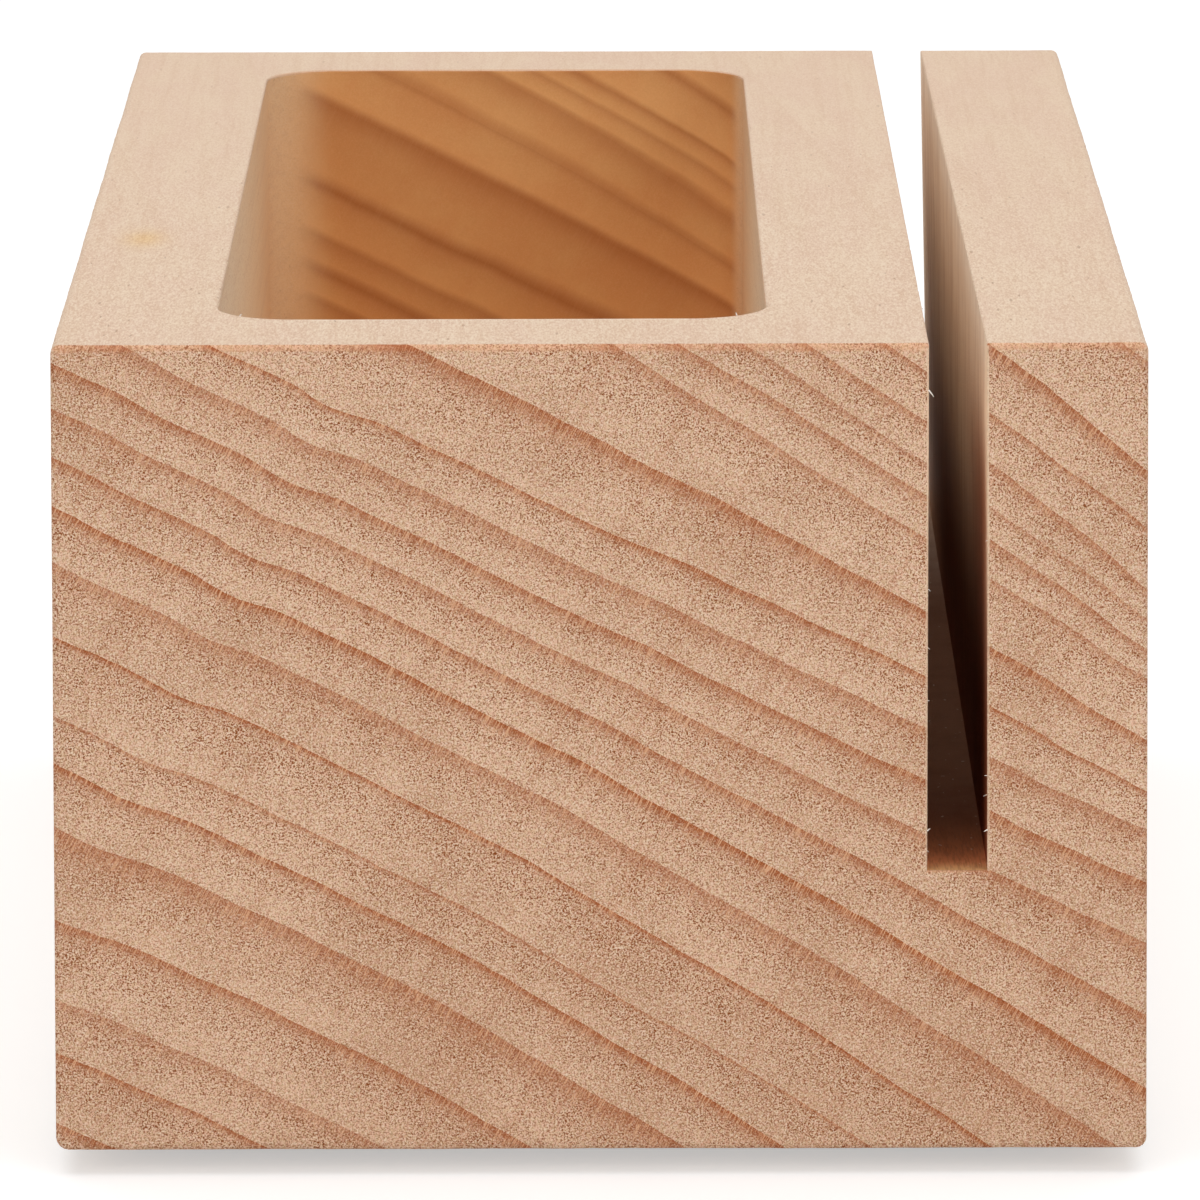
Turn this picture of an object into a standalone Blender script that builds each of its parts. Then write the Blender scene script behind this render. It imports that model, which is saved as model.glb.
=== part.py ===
"""Table card holder: a beech block with a milled card pocket, a sawn sign slot and stick-on feet.

Metres, +Z up. +X runs from the pocket towards the slot and +Y along the grain, away from the viewer.
The origin lies on the table, under the middle of the block.
"""

import math

import bmesh
import bpy

# Block: sizes along the grain and upright
BLOCK_LENGTH = 0.105
BLOCK_HEIGHT = 0.0415
ARRIS_RADIUS = 0.0005
ARRIS_SEGMENTS = 3

# Block: sizes across the grain, from the left face to the right face
SIDE_WALL = 0.008
POCKET_WIDTH = 0.028
RIB = 0.008
SLOT_WIDTH = 0.003
LIP = 0.008

# Pocket for business cards that stand on edge
END_WALL = 0.008
POCKET_FLOOR = 0.011
POCKET_CORNER_RADIUS = 0.004
POCKET_CORNER_SEGMENTS = 10

# Slot for an upright sign card, sawn from end to end
SLOT_FLOOR = 0.0145

# Feet
FOOT_DIAMETER = 0.008
FOOT_HEIGHT = 0.001
FOOT_EDGE_RADIUS = 0.0003
FOOT_EDGE_STEPS = 4
FOOT_TURN_STEPS = 36
FOOT_INSET = 0.007
FOOT_BOND = 0.0003

# How far a cutter runs past the faces that it opens
CUTTER_OVERRUN = 0.002

# Colours as linear red, green and blue
BEECH = (0.66, 0.42, 0.26)
FOOT_RUBBER = (0.045, 0.042, 0.040)

# Places that follow from the sizes above
BLOCK_WIDTH = SIDE_WALL + POCKET_WIDTH + RIB + SLOT_WIDTH + LIP
LEFT = -BLOCK_WIDTH / 2
FRONT = -BLOCK_LENGTH / 2
BOTTOM = FOOT_HEIGHT + FOOT_BOND
TOP = BOTTOM + BLOCK_HEIGHT
POCKET_LEFT = LEFT + SIDE_WALL
SLOT_LEFT = POCKET_LEFT + POCKET_WIDTH + RIB


def clear_scene():
    for obj in list(bpy.data.objects):
        bpy.data.objects.remove(obj, do_unlink=True)


def new_collection(name):
    collection = bpy.data.collections.new(name)
    bpy.context.scene.collection.children.link(collection)
    return collection


def new_material(name, colour, roughness):
    material = bpy.data.materials.new(name)
    material.use_nodes = True
    shader = material.node_tree.nodes["Principled BSDF"]
    shader.inputs["Base Color"].default_value = (*colour, 1.0)
    shader.inputs["Roughness"].default_value = roughness
    shader.inputs["Metallic"].default_value = 0.0
    return material


def new_box(name, low, high, collection):
    """A box between two corners, with its origin at its middle and its scale in the mesh."""
    mesh = bpy.data.meshes.new(name)
    solid = bmesh.new()
    bmesh.ops.create_cube(solid, size=1.0)
    bmesh.ops.scale(solid, vec=[b - a for a, b in zip(low, high)], verts=solid.verts)
    solid.to_mesh(mesh)
    solid.free()
    box = bpy.data.objects.new(name, mesh)
    box.location = [(a + b) / 2 for a, b in zip(low, high)]
    collection.objects.link(box)
    return box


def weigh_upright_edges(box):
    """Gives the box's four upright edges a bevel weight of 1 and leaves the others at 0."""
    solid = bmesh.new()
    solid.from_mesh(box.data)
    weight = solid.edges.layers.float.new("bevel_weight_edge")
    for edge in solid.edges:
        low, high = edge.verts
        if abs(low.co.z - high.co.z) > abs(low.co.x - high.co.x) + abs(low.co.y - high.co.y):
            edge[weight] = 1.0
    solid.to_mesh(box.data)
    solid.free()


def round_edges(obj, radius, segments, limit):
    bevel = obj.modifiers.new("Rounded edges", "BEVEL")
    bevel.width = radius
    bevel.segments = segments
    bevel.limit_method = limit
    bevel.use_clamp_overlap = True


def make_cutter(cutter):
    cutter.hide_render = True
    cutter.display_type = "WIRE"


def pocket_cutter(collection):
    """The milled pocket: square in section, open at the top, with the cutter's radius in its corners."""
    low = (POCKET_LEFT, FRONT + END_WALL, BOTTOM + POCKET_FLOOR)
    high = (POCKET_LEFT + POCKET_WIDTH, -FRONT - END_WALL, TOP + CUTTER_OVERRUN)
    cutter = new_box("pocket_cutter", low, high, collection)
    weigh_upright_edges(cutter)
    round_edges(cutter, POCKET_CORNER_RADIUS, POCKET_CORNER_SEGMENTS, "WEIGHT")
    make_cutter(cutter)
    return cutter


def slot_cutter(collection):
    """The saw cut: one kerf wide, through both ends and the top."""
    low = (SLOT_LEFT, FRONT - CUTTER_OVERRUN, BOTTOM + SLOT_FLOOR)
    high = (SLOT_LEFT + SLOT_WIDTH, -FRONT + CUTTER_OVERRUN, TOP + CUTTER_OVERRUN)
    cutter = new_box("slot_cutter", low, high, collection)
    make_cutter(cutter)
    return cutter


def cut(obj, cutter):
    boolean = obj.modifiers.new("Cut " + cutter.name, "BOOLEAN")
    boolean.operation = "DIFFERENCE"
    boolean.solver = "EXACT"
    boolean.object = cutter


def wood_block(parts, cutters):
    block = new_box("wood_block", (LEFT, FRONT, BOTTOM), (-LEFT, -FRONT, TOP), parts)
    round_edges(block, ARRIS_RADIUS, ARRIS_SEGMENTS, "ANGLE")
    cut(block, pocket_cutter(cutters))
    cut(block, slot_cutter(cutters))
    block.data.materials.append(new_material("Beech", BEECH, 0.62))
    return block


def foot_profile():
    """Half of a foot's section, from its axis out over the top, down the rim and back along the table."""
    radius = FOOT_DIAMETER / 2
    edge = min(FOOT_EDGE_RADIUS, FOOT_HEIGHT / 2)
    points = [(0.0, FOOT_HEIGHT), (radius, FOOT_HEIGHT)]
    for step in range(FOOT_EDGE_STEPS + 1):
        angle = math.radians(90) * step / FOOT_EDGE_STEPS
        points.append((radius - edge + edge * math.cos(angle), edge - edge * math.sin(angle)))
    points.append((0.0, 0.0))
    return [(x, 0.0, z) for x, z in points]


def foot_mesh(material):
    points = foot_profile()
    mesh = bpy.data.meshes.new("foot")
    mesh.from_pydata(points, [(i, i + 1) for i in range(len(points) - 1)], [])
    mesh.materials.append(material)
    return mesh


def foot(name, mesh, side, end, parts):
    """One stick-on foot, set in from the block's side and end faces."""
    reach = FOOT_INSET + FOOT_DIAMETER / 2
    pad = bpy.data.objects.new(name, mesh)
    pad.location = (side * (BLOCK_WIDTH / 2 - reach), end * (BLOCK_LENGTH / 2 - reach), 0.0)
    turn = pad.modifiers.new("Turned", "SCREW")
    turn.axis = "Z"
    turn.steps = FOOT_TURN_STEPS
    turn.render_steps = FOOT_TURN_STEPS
    turn.use_merge_vertices = True
    turn.merge_threshold = 0.00001
    turn.use_smooth_shade = True
    parts.objects.link(pad)
    return pad


def main():
    clear_scene()
    parts = new_collection("table_card_holder")
    cutters = new_collection("cutters")
    wood_block(parts, cutters)
    mesh = foot_mesh(new_material("Foot rubber", FOOT_RUBBER, 0.8))
    for end_name, end in (("front", -1), ("rear", 1)):
        for side_name, side in (("left", -1), ("right", 1)):
            foot("foot_" + end_name + "_" + side_name, mesh, side, end, parts)


main()
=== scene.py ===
"""Looks of the table card holder: a sanded beech block with real growth rings, cut edges, fibres and feet."""

import math
import random

import bmesh
import bpy
from mathutils import Matrix, Vector, noise


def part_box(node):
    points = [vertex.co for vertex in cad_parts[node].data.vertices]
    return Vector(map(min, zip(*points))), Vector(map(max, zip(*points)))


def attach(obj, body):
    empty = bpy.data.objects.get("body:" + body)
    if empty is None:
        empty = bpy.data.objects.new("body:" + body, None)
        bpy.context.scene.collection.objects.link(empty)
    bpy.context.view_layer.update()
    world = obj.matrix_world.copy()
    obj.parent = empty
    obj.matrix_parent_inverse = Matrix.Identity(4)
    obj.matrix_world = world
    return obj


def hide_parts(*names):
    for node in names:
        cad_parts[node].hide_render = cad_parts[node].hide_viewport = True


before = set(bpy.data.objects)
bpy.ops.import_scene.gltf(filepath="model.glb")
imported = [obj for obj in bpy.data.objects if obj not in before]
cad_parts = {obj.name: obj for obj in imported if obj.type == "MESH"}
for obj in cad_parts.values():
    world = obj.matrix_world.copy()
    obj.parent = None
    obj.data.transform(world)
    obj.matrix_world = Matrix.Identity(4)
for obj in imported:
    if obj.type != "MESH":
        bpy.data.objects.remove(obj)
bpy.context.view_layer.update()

MM = 0.001

# Cut-outs of the block, in millimetres, as in the part's source
SIDE_WALL = 8.0
POCKET_WIDTH = 28.0
RIB = 8.0
SLOT_WIDTH = 3.0
END_WALL = 8.0
POCKET_FLOOR = 11.0
POCKET_CORNER_RADIUS = 4.0
SLOT_FLOOR = 14.5

# Easing of the edges by sandpaper, in millimetres
ARRIS = 0.42
BOTTOM_ARRIS = 0.6
MOUTH_ARRIS = 0.16
SLOT_ARRIS = 0.11
LEAST_RADIUS = 0.02
# Uneven sanding: cells per millimetre of its slow and its quick part, the strength of the quick part, and
# how much the outside edges, the pocket's mouth and the slot's edges vary
WEAR_SLOW_CELLS = 0.12
WEAR_QUICK_CELLS = 0.9
WEAR_QUICK = 0.6
ARRIS_WEAR = 0.3
MOUTH_WEAR = 0.35
SLOT_WEAR = 0.45
# Chips broken out of the edges of the top: place and depth, in millimetres, and the width of them all
CHIPS = (
    (16.5, -21.6, 0.30),
    (16.5, -35.0, 0.35),
    (-19.5, -25.5, 0.22),
    (-19.3, -38.8, 0.20),
    (-19.5, -36.2, 0.16),
    (-19.5, -33.1, 0.13),
    (8.5, -40.4, 0.35),
    (8.5, -33.0, 0.18),
)
CHIP_WIDTH = 0.5
# Raggedness of the sawn slot's edges: depth in millimetres and cells per millimetre
RAGGED = 0.10
RAGGED_CELLS = 2.3
# Length of the steps along eased and along ragged edges, and how far from a corner they start, in
# millimetres, then the steps round an eased edge and round the pocket's corners
EDGE_STEP = 0.5
RAGGED_STEP = 0.2
CORNER_MARGIN = 0.8
ARC_STEPS = 4
CORNER_STEPS = 16
# Least angle between the faces of a sharp edge, in degrees
SHARP_ANGLE = 40.0

# The block's corners in the frame, in millimetres
LOW, HIGH = ([c / MM for c in corner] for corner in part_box("wood_block"))
HALF_WIDTH = (HIGH[0] - LOW[0]) / 2
LENGTH = HIGH[1] - LOW[1]
HEIGHT = HIGH[2] - LOW[2]
POCKET_LEFT = LOW[0] + SIDE_WALL
POCKET_RIGHT = POCKET_LEFT + POCKET_WIDTH
POCKET_FRONT = LOW[1] + END_WALL
POCKET_REAR = HIGH[1] - END_WALL
SLOT_LEFT = POCKET_RIGHT + RIB
SLOT_RIGHT = SLOT_LEFT + SLOT_WIDTH
SLOT_BOTTOM = LOW[2] + SLOT_FLOOR

# The block's outline from the front, counter-clockwise from its lower left corner; the fourth to the
# sixth side are the slot's, and the pocket opens in the seventh
OUTLINE = (
    (LOW[0], LOW[2]),
    (HIGH[0], LOW[2]),
    (HIGH[0], HIGH[2]),
    (SLOT_RIGHT, HIGH[2]),
    (SLOT_RIGHT, SLOT_BOTTOM),
    (SLOT_LEFT, SLOT_BOTTOM),
    (SLOT_LEFT, HIGH[2]),
    (LOW[0], HIGH[2]),
)
SLOT_SIDES = (3, 4, 5)
TOP_SIDE = 6
SLOT_CORNERS = (3, 6)
BOTTOM_CORNERS = (0, 1)
# The block is a trace wider below and its thin lip leans in: shifts of corners at the front and at the
# rear, in millimetres
CORNER_LEAN = {
    0: (-0.22, -0.22),
    1: (0.20, 0.20),
    3: (-0.10, -0.22),
    4: (0.03, 0.30),
    6: (0.0, -0.11),
}

# Growth rings, from the oldest to the youngest: height in millimetres above the block's underside where
# the ring's outer edge crosses the middle of the front face, how dark its late wood is and over how many
# millimetres the dark fades inwards
RINGS = (
    (-16.2, 0.70, 0.8),
    (-13.1, 0.80, 0.8),
    (-9.2, 0.90, 0.7),
    (-6.3, 0.45, 1.0),
    (-1.9, 0.85, 0.9),
    (2.9, 0.72, 1.9),
    (6.2, 0.95, 0.9),
    (8.6, 0.72, 0.25),
    (12.9, 1.00, 0.5),
    (16.7, 0.62, 1.4),
    (19.6, 1.00, 0.9),
    (22.2, 0.85, 0.8),
    (24.8, 0.70, 0.9),
    (27.2, 0.85, 0.9),
    (29.8, 0.62, 1.3),
    (32.2, 0.92, 0.5),
    (36.7, 0.88, 1.4),
    (42.0, 0.62, 1.3),
    (43.9, 0.68, 0.9),
    (45.8, 0.50, 0.7),
    (47.4, 0.68, 0.6),
    (50.6, 0.78, 0.6),
    (53.4, 0.88, 0.8),
    (59.1, 0.60, 1.0),
    (62.1, 0.70, 0.9),
    (66.9, 0.75, 0.8),
)
# Rise of a ring from the middle to the left edge and its fall to the right edge, in millimetres, and how
# much less both get with each millimetre of ring height
LEFT_RISE = 14.2
LEFT_LESS = 0.027
RIGHT_FALL = 19.2
RIGHT_LESS = 0.011
# A swelling of the trunk that lifts the rings round one height at the right edge, in millimetres
SWELL_PLACE = 29.0
SWELL_WIDTH = 10.5
SWELL = 5.8
# Height of some rings on the pocket's rear wall and their fall from the front to there, in millimetres
REAR_FALLS = ((19.4, 5.4), (23.3, 6.3), (26.4, 5.6), (31.4, 5.1), (34.6, 7.5), (37.9, 6.1), (40.5, 6.8))
MOST_FALL = 10.0
# Mean change of a ring's height at the left and right edges, and the range that the ring curves cover
MEAN_LEFT = 13.3
MEAN_RIGHT = -15.5
FIELD_LOW = -20.0
FIELD_HIGH = 68.0

# A kink that all rings share along a radial line: its lean, its place, depth and width, and how far it
# goes towards the rear, in millimetres
KINK_LEAN = 0.527
KINK_PLACE = -33.9
KINK_DEPTH = 0.36
KINK_WIDTH = 2.1
KINK_LENGTH = 50.0
# Waves in the rings: height in millimetres, and cells per millimetre along a ring, across the rings and
# along the block
SLOW_WAVE = 0.6
SLOW_CELLS = (0.15, 0.02, 0.012)
FINE_WAVE = 0.13
FINE_CELLS = (0.8, 0.12, 0.03)
# Part of a ring's fade that its dark edge takes up, and the most times that a ring is wider than that edge
LATE_SPREAD = 0.60
MOST_SHARP = 20.0
# Late wood where it is sawn and where it is milled: how fast its soft tail fades and the share of its sharp
# core, then how fast milled late wood that is smeared over its edge fades
TAIL_RATES = (0.6, 0.27)
CORE_SHARES = (0.78, 0.38)
SPILL_RATE = 1.1

# Colours of the wood and of painted light and shade, linear; tints multiply the colour that they lie on
END_PALE = (0.89, 0.603, 0.412)
END_PINK = (0.735, 0.468, 0.304)
END_LATE = (0.50, 0.134, 0.029)
END_PORE = (0.29, 0.080, 0.017)
END_GLINT = (0.99, 0.77, 0.59)
END_RAY = (0.95, 0.56, 0.33)
END_DARK = (0.27, 0.055, 0.010)
RED_TINT = (1.04, 0.96, 0.98)
YELLOW_TINT = (1.0, 1.01, 0.93)
ARRIS_TINT = (0.84, 0.62, 0.47)
MILLED_PALE = (0.835, 0.455, 0.183)
MILLED_LATE = (0.33, 0.082, 0.017)
MILLED_WARM = (0.785, 0.39, 0.15)
MILLED_FRONT = (1.0, 0.88, 0.66)
MILLED_REAR = (0.89, 0.615, 0.34)
# The next tint is painted shade inside the pocket
POCKET_SHADE_TINT = (0.88, 0.84, 0.82)
# The next colour is a painted highlight on the pocket's front rim
RIM_HIGHLIGHT = (0.98, 0.84, 0.64)
SIDE_PALE = (0.81, 0.61, 0.445)
SIDE_PINK = (0.79, 0.575, 0.425)
SIDE_LATE = (0.66, 0.43, 0.28)
SIDE_GLINT = (0.90, 0.73, 0.56)
SIDE_FLECK = (0.42, 0.24, 0.14)
STAIN_TINT = (0.98, 0.86, 0.60)
# Painted light: the slot's pale base, also the colour of the dust on its floor
SLOT_LIGHT_AND_DUST = (1.0, 0.81, 0.63)
# Painted light on the front of the slot's floor, warm and at its edge gold
SLOT_FLOOR_LIGHT_WARM = (0.85, 0.30, 0.12)
SLOT_FLOOR_LIGHT_GOLD = (0.80, 0.43, 0.185)
# Pale torn fibres and a painted highlight on the slot's front edges
SLOT_EDGE_FIBRES_AND_HIGHLIGHT = (0.98, 0.74, 0.52)
STREAK_TINT = (0.72, 0.62, 0.56)
# Painted shade in the slot, deep down and under the top near the front
DEEP_SHADE_TINT = (0.43, 0.24, 0.165)
FRONT_SHADE_TINT = (0.66, 0.44, 0.35)
FIBRE_PALE = (1.0, 0.94, 0.86)

RUBBER_DARK = (0.030, 0.028, 0.027)
RUBBER_GREY = (0.060, 0.057, 0.054)
RUBBER_BLOOM = (0.11, 0.105, 0.10)

# How far under the pocket's floor its milled wood may start, in millimetres, and the share of end grain over
# which growth rings come up on milled wood
POCKET_SLACK = 0.5
RINGS_BY_END = (0.15, 0.85)
# Ranges of turn over which a point comes to count as end grain, as an eased top edge or as a torn slot edge
END_TURN = (0.06, 0.30)
ARRIS_TURN = (0.05, 0.40)
TORN_TURN = (0.05, 0.35)
# Turn over which milled side wood changes to end wood in corners that face left and right, and the most
# that an upright wall may face up
CORNER_TURNS = (0.2, 1.0)
UPRIGHT = 0.5

# End grain: noise cells per millimetre across, along and up the block, or for the rays along a ring, across
# the rings and along the block
FELT_CELLS = (12.0, 4.8, 12.0)
CLUMP_CELLS = (1.6, 0.2, 1.6)
HUE_CELLS = (4.0, 0.4, 4.0)
TONE_CELLS = (0.16, 0.03, 0.16)
RAY_CELLS = (16.0, 0.8, 0.08)
LONG_RAY_CELLS = (2.2, 0.06, 0.05)
# Ramps of the end grain: from where to where in its noise or its ring, and from which strength to which
PORES = (0.47, 0.66)
PORES_IN_RING = (0.0, 0.9, 0.66, 1.15)
PORES_IN_CLUMP = (0.35, 0.65, 0.82, 1.14)
GLINTS = (0.49, 0.31)
RAYS = (0.57, 0.66)
DASHES = (0.56, 0.40)
DASHES_IN_FELT = (0.40, 0.60, 0.5, 1.0)
LONG_RAYS = (0.55, 0.72, 0.0, 0.18)
PINK_TONE = (0.29, 0.63)
WARM_TONE = (0.35, 0.65)
YELLOW_HUE = (0.38, 0.62)
RING_SHADE = (0.2, 1.0, 0.0, 0.11)
# Strengths in early and in late wood, and of late wood where it is sawn and where it is milled
OPEN_GRAIN = (1.0, 0.15)
RAYS_IN_LATE = (0.09, 0.81)
LATE_WEIGHTS = (0.92, 0.68)
# Other strengths: how smooth milled and eased wood is, dashes, glints, eased edges, and pink for each
# millimetre up
MILLED_SMOOTH = 0.95
ARRIS_SMOOTH = 0.3
DASH_WEIGHT = 0.6
GLINT_WEIGHT = 0.85
ARRIS_WEIGHT = 0.5
PINK_RISE = -0.0037

# Long grain: noise cells per millimetre across, along and up the block
SIDE_FIBRE_CELLS = (11.0, 2.2, 11.0)
SIDE_STREAK_CELLS = (2.2, 0.05, 2.2)
SIDE_FLECK_CELLS = (4.0, 0.7, 4.0)
SIDE_HUE_CELLS = (0.5, 0.09, 0.5)
# Ramps of the long grain, as above, and its strengths
SIDE_PINK_HUE = (0.35, 0.65)
SIDE_STREAKS = (0.45, 0.70, 0.0, 0.22)
SIDE_DARK_FIBRES = (0.49, 0.70, 0.0, 0.65)
SIDE_PALE_FIBRES = (0.51, 0.30, 0.0, 0.75)
SIDE_FLECKS = (0.78, 0.84, 0.0, 0.6)
MILLED_WEIGHT = 0.8
SIDE_RINGS = 0.16
REAR_FIBRES = 0.35
SIDE_RELIEF = 0.4
# A yellowish stain on the top near the left edge: middle and half sizes, in millimetres, and strength
STAIN_PLACE = (-24.2, -18.5, 41.5)
STAIN_SIZE = (1.05, 2.6, 1.0)
STAIN_WEIGHT = 0.9
# A painted highlight on the rim at the front of the pocket's mouth: width in millimetres, the share of it
# that is at full strength, and that strength
RIM_WIDTH = 0.6
RIM_FULL = 0.3
RIM_WEIGHT = 0.6

# The slot: how far beside it and over its floor a point still counts as its wall or its floor, and the most
# length of the frays on its walls, in millimetres
SLOT_REACH = 0.35
SLOT_FLOOR_REACH = 0.2
FRAY_LENGTH = 3.0
# Noise cells of the slot per millimetre across, along and up the block
SAW_STREAK_CELLS = (0.5, 0.4, 0.15)
COMB_CELLS = (11.0, 0.8, 1.0)
DUST_CELLS = (5.0, 1.6, 5.0)
FRAY_CELLS = (0.5, 0.5, 1.6)
# Ramps of the slot's noise
SAW_STREAKS = (0.42, 0.66, 0.0, 0.4)
COMBED = (0.3, 0.6, 0.6, 0.92)
DUST = (0.80, 0.86, 0.0, 0.4)
# Ramps of the slot's painted shade and light and of its edges, in millimetres under the top, from the front
# or rear
DEEP_SHADE_UNDER = (10.0, 21.0)
DEEP_SHADE_FROM_REAR = (2.0, 40.0, 0.3, 1.0)
FRONT_SHADE_UNDER = (3.0, 10.0)
FRONT_SHADE_FROM_FRONT = (34.0, 3.0)
LIT_FLOOR_FROM_FRONT = (15.0, 0.5)
GOLD_LIGHT_FROM_FRONT = (0.2, 2.6)
FRAYED_UNDER = (17.0, 5.0, 0.0, 0.8)
FRAYED_FROM_FRONT = (0.6, -0.6)
TORN_UNDER = (17.0, 5.0, 0.55, 0.8)

# Finish of the wood: roughness by its relief, specular level and what the slot and end grain take off it,
# and the relief's depth in millimetres and strength
WOOD_ROUGHNESS = (-0.2, 0.2, 0.74, 0.58)
WOOD_GLOSS = 0.3
SLOT_DULLNESS = 0.27
END_DULLNESS = 0.2
WOOD_BUMP = 0.1
WOOD_BUMP_STRENGTH = 0.6

# Torn fibres: how many an edge of the slot has at each end, their least and most length and their radius in
# millimetres, how they point along and up, and how much they arch and taper
FIBRE_SEED = 7
FIBRES_AN_EDGE = 4
FIBRE_LENGTHS = (0.08, 0.22)
FIBRE_RADIUS = 0.022
FIBRE_ALONG = (-0.4, 0.4)
FIBRE_UP = (-1.0, 0.6)
FIBRE_ARCH = 0.2
FIBRE_TAPER = 0.3
# Large ones, from root to tip, in millimetres
LARGE_FIBRES = (
    ((16.48, -52.48, 40.44), (16.73, -52.68, 40.14)),
    ((16.50, -52.46, 17.86), (16.64, -52.60, 18.00)),
    ((19.54, -52.46, 17.90), (19.36, -52.60, 17.84)),
    ((-18.3, -43.35, 42.74), (-18.2, -43.30, 42.86)),
    ((7.0, -43.40, 42.74), (6.95, -43.35, 42.88)),
)
LARGE_STOUTNESS = 1.9
# Their material: noise cells per millimetre, ramps of colour and roughness, depth in millimetres
TORN_CELLS = (6.0, 6.0, 6.0)
TORN_TONE = (0.5, 0.8)
TORN_ROUGHNESS = (0.3, 0.7, 0.6, 0.8)
TORN_BUMP = 0.02

# Foam pads between the feet and the block: their inset from a foot's edge, how uneven it is and the swell of
# their sides, in millimetres, and the steps round them
FEET = ("foot_front_left", "foot_front_right", "foot_rear_left", "foot_rear_right")
PAD_SEED = 3
PAD_INSET = 0.3
PAD_UNEVEN = 0.05
PAD_SWELL = 0.12
PAD_STEPS = 48
# Rubber: noise cells per millimetre, ramps of colour and roughness, depth in millimetres
GRIT_CELLS = (9.0, 9.0, 9.0)
BLOOM_CELLS = (0.8, 0.8, 0.8)
GRIT = (0.3, 0.7)
BLOOM = (0.5, 0.75, 0.0, 0.35)
RUBBER_ROUGHNESS = (0.3, 0.7, 0.62, 0.85)
RUBBER_BUMP = 0.04
# Strength of the relief of fibres and rubber
SMALL_BUMP_STRENGTH = 0.5

# Studio: ambient light, the floor's half size in metres, how pale it is to light and to the eye, and a lift
# that brings it up to white
WHITE = (1.0, 1.0, 1.0, 1.0)
AMBIENT = 0.30
FLOOR_SIZE = 3.0
FLOOR_LIT = (0.80, 0.80, 0.80, 1.0)
FLOOR_SEEN = (0.75, 0.75, 0.75, 1.0)
FLOOR_LIFT = 0.45
# Lights: place and size in metres, and power in watts, all turned to one place
LIGHTS = {
    "overhead": ((0.0, 0.0, 1.0), 1.3, 7.6),
    "front_left": ((-0.80, -1.0, 0.50), 0.7, 3.2),
    "front_right": ((0.80, -1.0, 0.50), 0.7, 3.2),
}
LIGHT_TARGET = (0.0, 0.0, 0.02)

# Camera, fitted to the corners of the block in the photograph: place in metres, angles in degrees, lens and
# sensor in millimetres, and the nearest and farthest that it sees, in metres
CAMERA_PLACE = (0.0, -0.5655, 0.1302)
CAMERA_PITCH = 11.075
CAMERA_ROLL = 0.149
CAMERA_LENS = 311.95
SENSOR = 36.0
CAMERA_NEAR = 0.01
CAMERA_FAR = 50.0


class Graph:
    """Short calls for building one material's nodes."""

    def __init__(self, name):
        self.material = bpy.data.materials.new(name)
        self.material.use_nodes = True
        self.tree = self.material.node_tree
        self.shader = self.tree.nodes["Principled BSDF"]

    def put(self, socket, value):
        if isinstance(value, bpy.types.NodeSocket):
            self.tree.links.new(value, socket)
        else:
            socket.default_value = value

    def add(self, kind, inputs, **settings):
        node = self.tree.nodes.new(kind)
        for key, value in settings.items():
            setattr(node, key, value)
        for key, value in inputs.items():
            self.put(node.inputs[key], value)
        return node

    def math(self, operation, *values):
        return self.add("ShaderNodeMath", dict(enumerate(values)), operation=operation).outputs[0]

    def sum(self, *terms):
        total = terms[0]
        for term in terms[1:]:
            total = self.math("ADD", total, term)
        return total

    def product(self, *factors):
        total = factors[0]
        for factor in factors[1:]:
            total = self.math("MULTIPLY", total, factor)
        return total

    def without(self, value):
        """What is left of one."""
        return self.math("SUBTRACT", 1.0, value)

    def between(self, share, start, end):
        """A value that goes evenly from start to end as share goes from nothing to one."""
        return self.math("MULTIPLY_ADD", share, end - start, start)

    def ramp(self, value, low, high, to_low=0.0, to_high=1.0):
        """A smooth step from to_low to to_high as value goes from low to high."""
        inputs = {"Value": value, "From Min": low, "From Max": high, "To Min": to_low, "To Max": to_high}
        node = self.add("ShaderNodeMapRange", inputs, interpolation_type="SMOOTHSTEP")
        return node.outputs["Result"]

    def vector(self, x, y, z):
        return self.add("ShaderNodeCombineXYZ", {"X": x, "Y": y, "Z": z}).outputs["Vector"]

    def noise(self, vector, detail, roughness=0.5, distortion=0.0):
        inputs = {"Vector": vector, "Scale": 1.0, "Detail": detail, "Roughness": roughness,
                  "Distortion": distortion}
        return self.add("ShaderNodeTexNoise", inputs).outputs["Fac"]

    def mix(self, factor, a, b, blend="MIX"):
        node = self.add("ShaderNodeMix", {}, data_type="RGBA", blend_type=blend)
        self.put(node.inputs["Factor"], factor)
        self.put(node.inputs[6], a if isinstance(a, bpy.types.NodeSocket) else (*a, 1.0))
        self.put(node.inputs[7], b if isinstance(b, bpy.types.NodeSocket) else (*b, 1.0))
        return node.outputs[2]

    def curve(self, value, places):
        """A curve of straight pieces through places, both ways from nothing to one."""
        node = self.add("ShaderNodeFloatCurve", {"Value": value})
        points = node.mapping.curves[0].points
        points[0].location = places[0]
        points[1].location = places[-1]
        for place in places[1:-1]:
            points.new(*place)
        for point in points:
            point.handle_type = "VECTOR"
        node.mapping.extend = "HORIZONTAL"
        node.mapping.update()
        return node.outputs[0]

    def bump(self, height, distance, strength):
        inputs = {"Height": height, "Distance": distance, "Strength": strength}
        return self.add("ShaderNodeBump", inputs).outputs["Normal"]


def block_place(graph):
    """The shaded point in millimetres: x and y in the frame, z above the block's underside."""
    place = graph.add("ShaderNodeTexCoord", {}).outputs["Object"]
    scaled = graph.add("ShaderNodeVectorMath", {0: place, "Scale": 1.0 / MM}, operation="SCALE").outputs[0]
    axes = graph.add("ShaderNodeSeparateXYZ", {0: scaled}).outputs
    return axes["X"], axes["Y"], graph.math("SUBTRACT", axes["Z"], LOW[2])


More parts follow.
